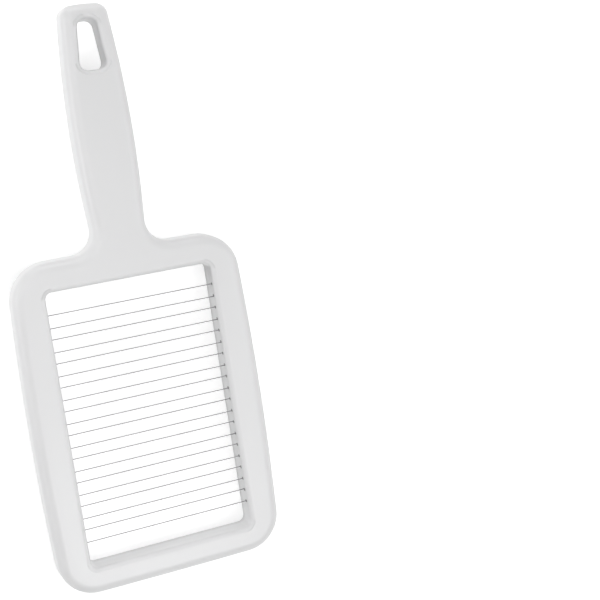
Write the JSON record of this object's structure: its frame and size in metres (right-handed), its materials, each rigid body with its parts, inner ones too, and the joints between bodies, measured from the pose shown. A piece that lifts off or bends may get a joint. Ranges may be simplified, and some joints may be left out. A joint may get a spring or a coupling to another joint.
{
  "type": "egg slicer",
  "caption": "Hand-held wire slicer: a moulded paddle frame with a grip and hanging hole, its rectangular window strung with parallel steel cutting wires.",
  "frame": {"origin": "middle of the outline, on the plane of the flat back that it rests on", "axes": "+X to the right across the window, +Y along the handle, +Z out of the front face"},
  "size_m": [0.1044, 0.2538, 0.0128],
  "materials": {
    "shell_plastic": "white glossy injection-moulded plastic",
    "cover_plastic": "white moulded plastic, fine satin texture",
    "wire_steel": "thin drawn stainless steel wire",
    "sleeve_steel": "crimped steel sleeves"
  },
  "bodies": {
    "root": {"front_shell": "shell_plastic", "back_cover": "cover_plastic", "stop_sleeves_left": "sleeve_steel", "stop_sleeves_right": "sleeve_steel", "wire_01": "wire_steel", "wire_02": "wire_steel", "wire_03": "wire_steel", "wire_04": "wire_steel", "wire_05": "wire_steel", "wire_06": "wire_steel", "wire_07": "wire_steel", "wire_08": "wire_steel", "wire_09": "wire_steel", "wire_10": "wire_steel", "wire_11": "wire_steel", "wire_12": "wire_steel", "wire_13": "wire_steel", "wire_14": "wire_steel", "wire_15": "wire_steel", "wire_16": "wire_steel", "wire_17": "wire_steel", "wire_18": "wire_steel", "wire_19": "wire_steel", "wire_20": "wire_steel"}
  },
  "joints": []
}
